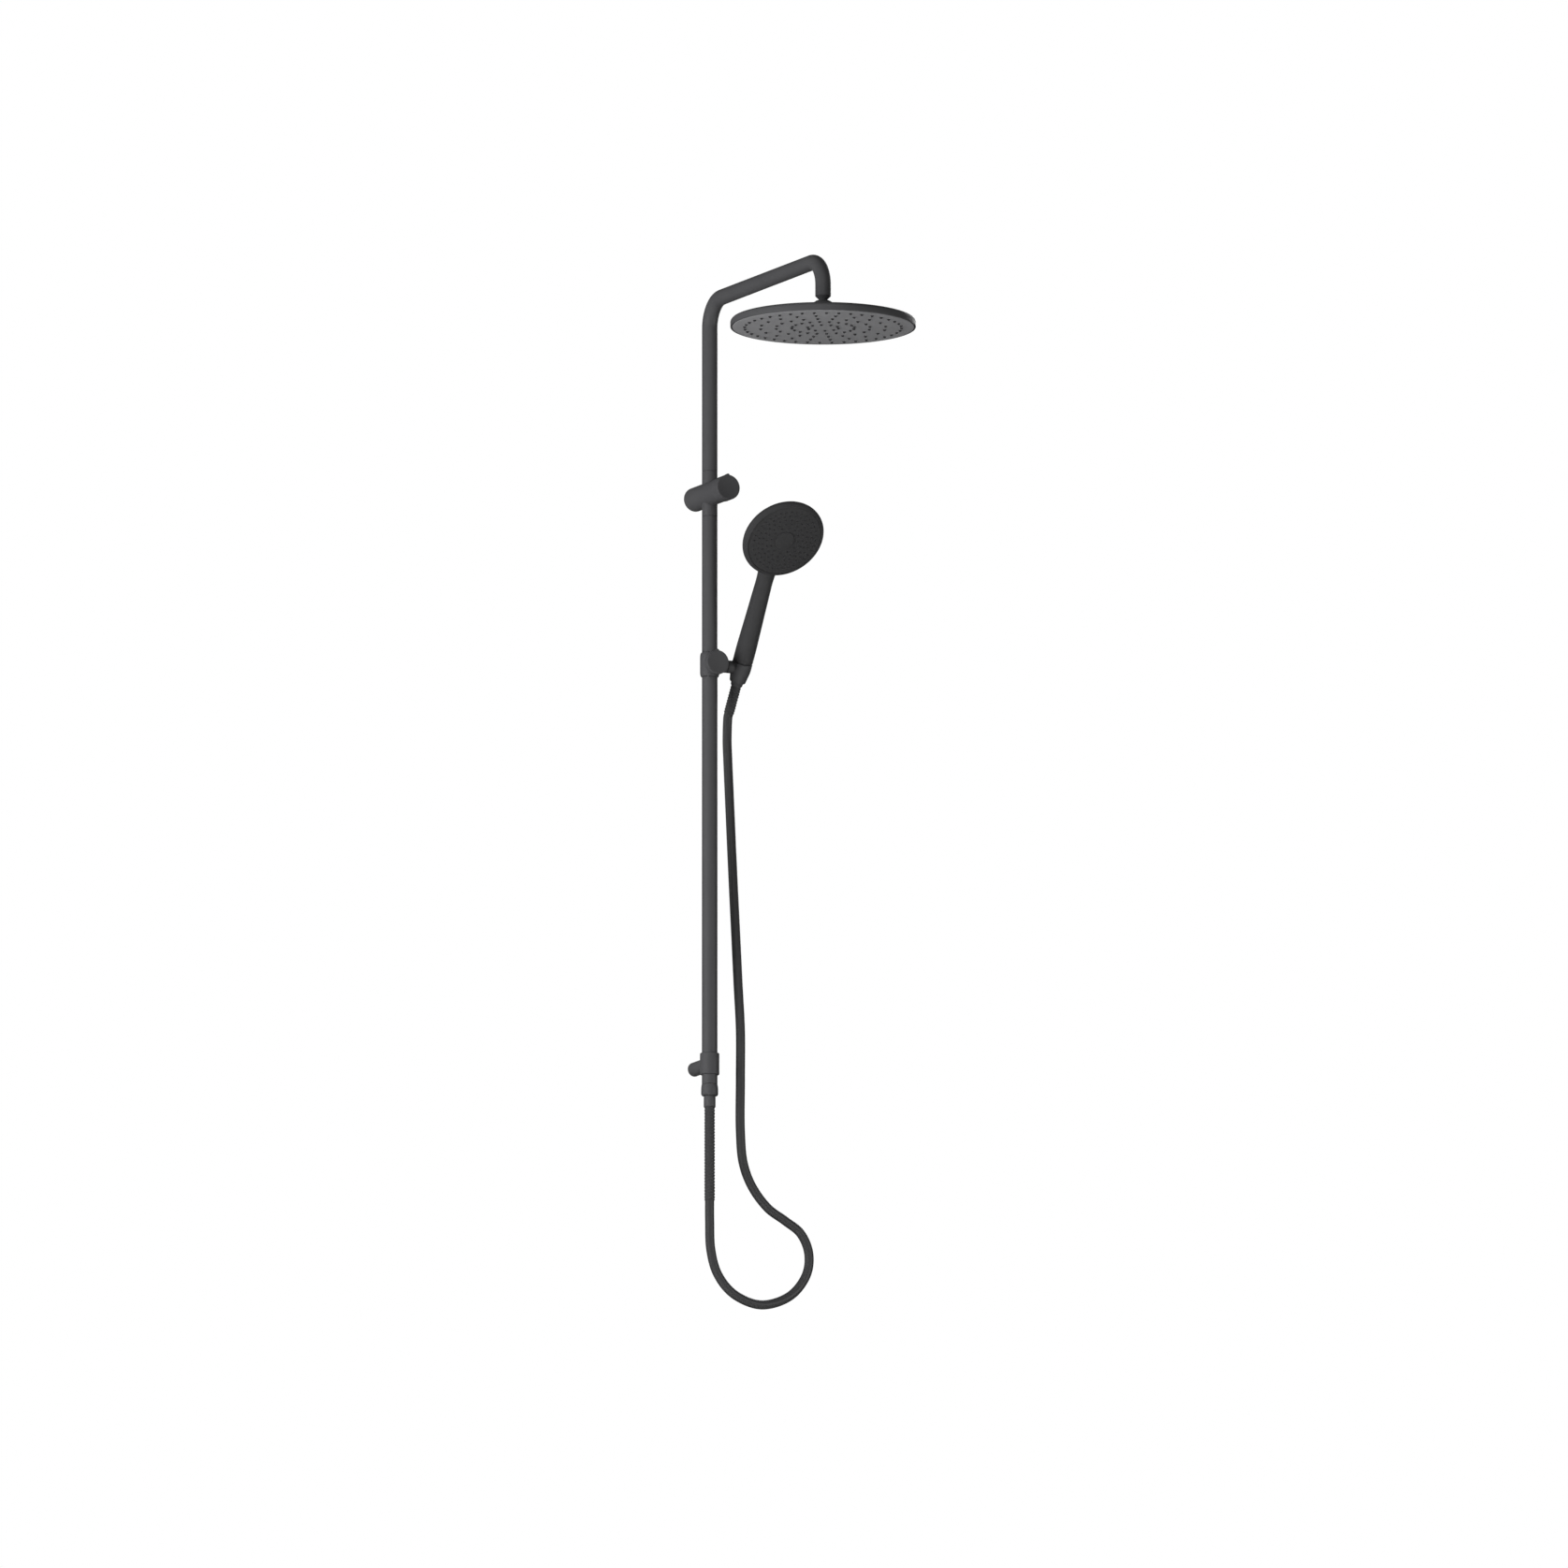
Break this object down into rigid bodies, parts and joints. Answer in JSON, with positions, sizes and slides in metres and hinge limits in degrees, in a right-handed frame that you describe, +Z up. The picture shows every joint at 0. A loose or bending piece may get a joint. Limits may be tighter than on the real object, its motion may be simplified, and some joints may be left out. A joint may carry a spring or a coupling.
{
  "type": "rainfall shower column",
  "caption": "Wall-mounted black shower column: a round rain head on a gooseneck arm, a diverter, and a handset in a sliding holder fed by a looped flexible hose.",
  "frame": {"origin": "centre of the water inlet's wall face, where the diverter body meets the wall", "axes": "+Z up along the riser, +Y into the wall, -Y towards the user, +X to the user's right"},
  "size_m": [0.2901, 0.54, 1.4411],
  "materials": {
    "black_metal": "satin black coating over brass",
    "handset_black": "satin black plastic",
    "grey_face": "satin dark grey plastic",
    "black_plastic": "satin",
    "hose_black": "smooth semi-gloss",
    "rubber": "matt",
    "brass": "turned",
    "steel": "plain"
  },
  "bodies": {
    "column": {"gooseneck_tube": "black_metal", "rail_tube": "black_metal", "diverter_body": "black_metal", "diverter_cartridge": "brass", "cartridge_nut": "brass", "upper_tube_oring": "rubber", "lower_tube_oring": "rubber", "upper_tube_screw": "steel", "lower_tube_screw": "steel", "inlet_filter_washer": "rubber", "inlet_grub_screw": "steel", "lower_bracket": "black_metal", "lower_wall_stud": "brass", "lower_grub_screw": "steel", "outlet_fitting": "brass", "outlet_oring": "rubber", "outlet_washer": "rubber", "hose_lower_nut": "black_metal", "hose_lower_ferrule": "black_metal", "hose_lower_spring": "hose_black", "hose_riser_leg": "hose_black", "hose_loop": "hose_black", "arm_ball_stem": "brass", "arm_oring": "rubber"},
    "diverter_knob": {"diverter_knob": "black_metal", "cartridge_stem": "brass", "knob_grub_screw": "steel"},
    "slider_carriage": {"slider_liner": "black_plastic", "hose_run": "hose_black"},
    "slider_body": {"slider_collar": "black_metal", "holder_pivot_pin": "steel", "pivot_grub_screw": "steel", "slider_clamp_pad": "black_plastic", "friction_washer": "rubber", "hose_bend": "hose_black"},
    "lock_knob": {"slider_lock_knob": "black_metal", "slider_lock_screw": "steel"},
    "holder": {"holder_socket": "black_metal", "hose_top": "hose_black"},
    "handset": {"handset_shell": "handset_black", "handset_spray_plate": "grey_face", "handset_bezel": "handset_black", "handset_nozzle_mat": "rubber", "handset_centre_cap": "grey_face", "handset_inlet_nipple": "brass", "hose_upper_washer": "rubber", "hose_upper_nut": "black_metal", "hose_upper_ferrule": "brass", "hose_upper_spring": "hose_black"},
    "ball_seat": {"ball_seat_ring": "rubber"},
    "head": {"ball_nut": "black_metal", "head_shell": "black_metal", "head_faceplate": "grey_face", "head_nozzle_mat": "rubber", "flow_regulator": "black_plastic"}
  },
  "joints": [
    {"name": "diverter_turn", "type": "hinge", "parent": "column", "child": "diverter_knob", "pos_m": [0, -0.1, 0], "axis": [0, -1, 0], "range_deg": [-90, 90]},
    {"name": "slider_slide", "type": "slide", "parent": "column", "child": "slider_carriage", "axis": [0, 0, 1], "range_m": [-0.46, 0.185], "deforming": ["hose_riser_leg", "hose_loop", "hose_run"]},
    {"name": "slider_swivel", "type": "hinge", "parent": "slider_carriage", "child": "slider_body", "pos_m": [0, -0.05, -0.244], "axis": [0, 0, 1], "range_deg": [-15, 0], "deforming": ["hose_bend"]},
    {"name": "lock_knob_turn", "type": "hinge", "parent": "slider_body", "child": "lock_knob", "pos_m": [0, -0.05, -0.244], "axis": [0, -1, 0], "range_deg": [0, 90]},
    {"name": "holder_tilt", "type": "hinge", "parent": "slider_body", "child": "holder", "pos_m": [0.048, -0.05, -0.244], "axis": [1, 0, 0], "range_deg": [-20, 5], "deforming": ["hose_top"]},
    {"name": "handset_lift", "type": "slide", "parent": "holder", "child": "handset", "axis": [0, -0.5534, 0.8329], "range_m": [0, 0.04]},
    {"name": "head_tilt", "type": "hinge", "parent": "column", "child": "ball_seat", "pos_m": [0, -0.41, 0.203], "axis": [1, 0, 0], "range_deg": [-12, 12]},
    {"name": "head_turn", "type": "hinge", "parent": "ball_seat", "child": "head", "pos_m": [0, -0.41, 0.203], "axis": [0, 0, 1], "continuous": true}
  ]
}
